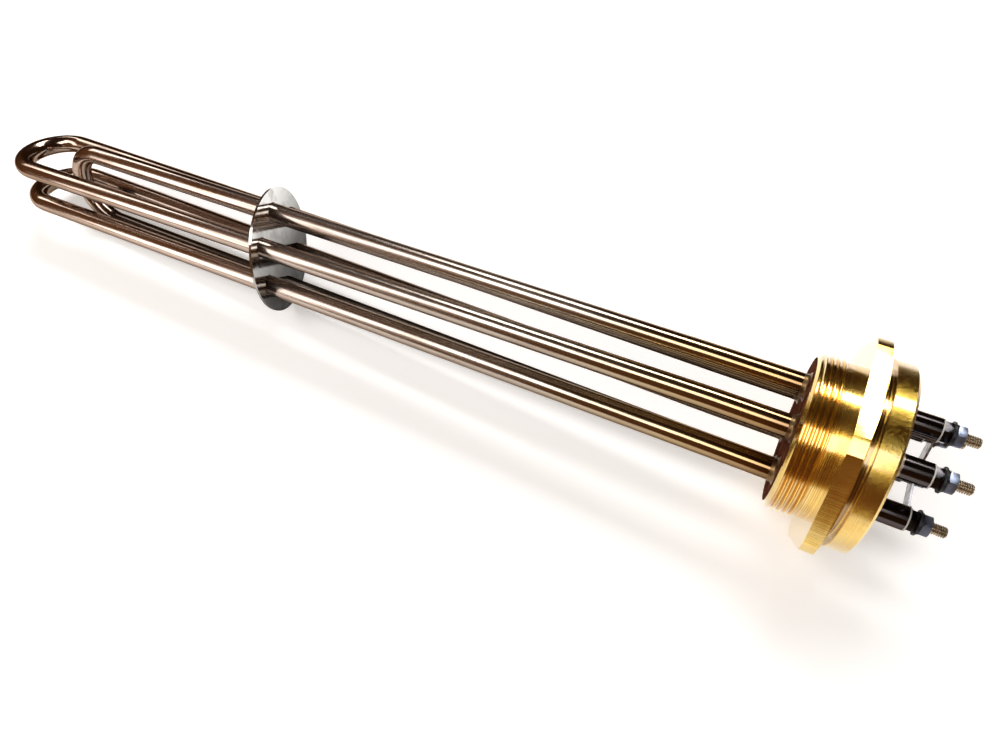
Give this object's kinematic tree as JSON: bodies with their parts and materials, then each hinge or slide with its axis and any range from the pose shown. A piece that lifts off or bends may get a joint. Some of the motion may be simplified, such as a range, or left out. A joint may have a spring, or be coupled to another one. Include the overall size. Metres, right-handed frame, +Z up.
{
  "type": "screw plug immersion heater",
  "caption": "Brass screw plug with a hexagon and round collar that carries nested hairpin heating tubes, a thin support disc and threaded terminals.",
  "frame": {"origin": "on the heater's axis, in the middle of the plug's thread", "axes": "+X along the axis from the bends towards the terminals, +Z up, a hexagon flat below"},
  "size_m": [0.4438, 0.0832, 0.075],
  "materials": {
    "brass_plug": "bright turned",
    "disc_steel": "polished",
    "braze": "as brazed",
    "sheath_steel": "bright with a warm heat tint",
    "magnesia": "pressed powder",
    "coil_wire": "drawn wire",
    "stud_steel": "threaded",
    "bush_ceramic": "unglazed ceramic",
    "link_steel": "plated",
    "nut_dark": "dark plated",
    "washer_dark": "blackened",
    "nut_zinc": "blue zinc plated"
  },
  "bodies": {
    "root": {"screw_plug": "brass_plug", "support_disc": "disc_steel", "braze_rings": "braze", "upper_hairpin": "sheath_steel", "lower_hairpin": "sheath_steel", "cross_hairpin": "sheath_steel", "upper_powder": "magnesia", "lower_powder": "magnesia", "cross_powder": "magnesia", "upper_coil": "coil_wire", "lower_coil": "coil_wire", "cross_coil": "coil_wire", "terminal_pin_1": "stud_steel", "terminal_pin_2": "stud_steel", "terminal_pin_3": "stud_steel", "terminal_pin_4": "stud_steel", "terminal_pin_5": "stud_steel", "terminal_pin_6": "stud_steel", "end_bush_1": "bush_ceramic", "end_bush_2": "bush_ceramic", "end_bush_3": "bush_ceramic", "end_bush_4": "bush_ceramic", "end_bush_5": "bush_ceramic", "end_bush_6": "bush_ceramic", "star_link": "link_steel", "lower_nuts": "nut_dark", "flat_washers": "washer_dark", "spring_washers": "washer_dark", "upper_nuts": "nut_zinc"}
  },
  "joints": []
}
